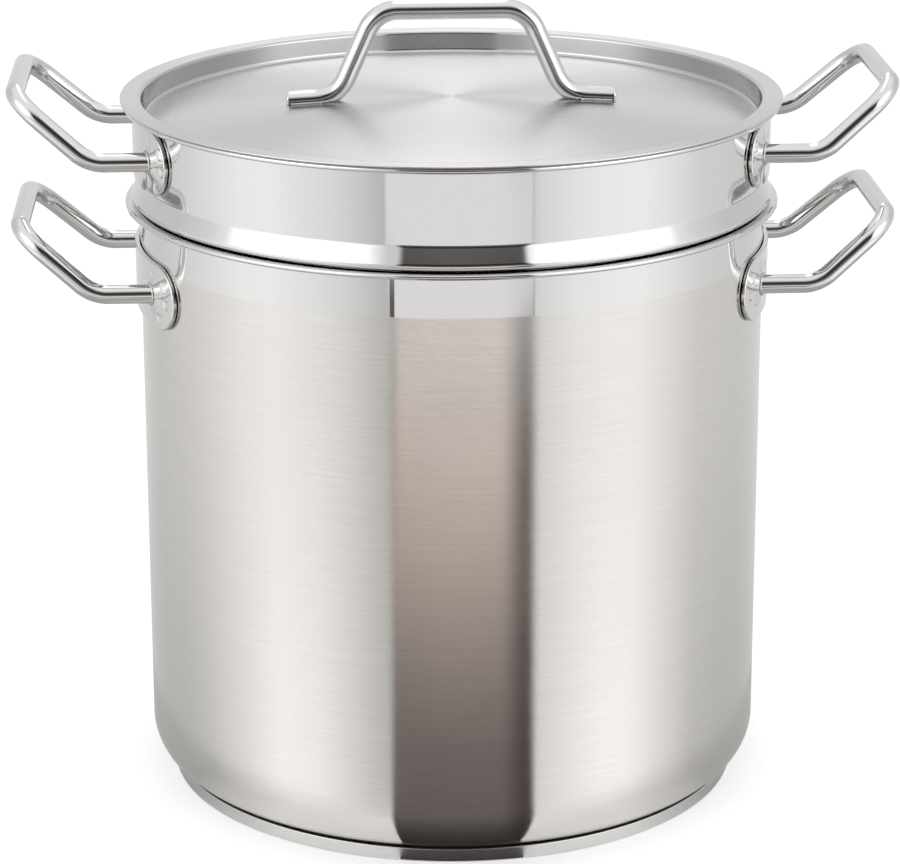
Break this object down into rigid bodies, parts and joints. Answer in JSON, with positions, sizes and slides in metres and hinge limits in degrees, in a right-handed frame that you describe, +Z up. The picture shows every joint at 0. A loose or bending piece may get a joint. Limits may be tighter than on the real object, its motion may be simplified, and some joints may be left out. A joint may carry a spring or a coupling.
{
  "type": "pasta pot with steamer insert",
  "caption": "Tall round steel cooking pot with a bonded base, a lift-out perforated insert standing above its rim, a sunk lid and bent-rod handles.",
  "frame": {"origin": "centre of the base's underside, on the surface the pot stands on", "axes": "+Z up along the pot's axis, X through the side handles, -Y towards the viewer"},
  "size_m": [0.3928, 0.2964, 0.3591],
  "materials": {
    "satin_steel": "satin, brushed round the axis",
    "base_steel": "satin",
    "polished_steel": "mirror polished",
    "weld_steel": "dressed weld",
    "core_alloy": "bare"
  },
  "bodies": {
    "pot": {"pot_shell": "satin_steel", "base_core": "core_alloy", "base_cap": "base_steel", "pot_strap_left": "polished_steel", "pot_strap_right": "polished_steel", "pot_handle_left": "polished_steel", "pot_handle_right": "polished_steel", "pot_weld_left_front": "weld_steel", "pot_weld_left_rear": "weld_steel", "pot_weld_right_front": "weld_steel", "pot_weld_right_rear": "weld_steel"},
    "insert": {"insert_shell": "polished_steel", "insert_strap_left": "polished_steel", "insert_strap_right": "polished_steel", "insert_handle_left": "polished_steel", "insert_handle_right": "polished_steel", "insert_weld_left_front": "weld_steel", "insert_weld_left_rear": "weld_steel", "insert_weld_right_front": "weld_steel", "insert_weld_right_rear": "weld_steel"},
    "lid": {"lid_pan": "satin_steel", "lid_handle": "polished_steel", "lid_weld_left": "weld_steel", "lid_weld_right": "weld_steel"}
  },
  "joints": [
    {"name": "insert_lift", "type": "slide", "parent": "pot", "child": "insert", "axis": [0, 0, 1], "range_m": [0, 0.25]},
    {"name": "lid_lift", "type": "slide", "parent": "insert", "child": "lid", "axis": [0, 0, 1], "range_m": [0, 0.15]}
  ]
}
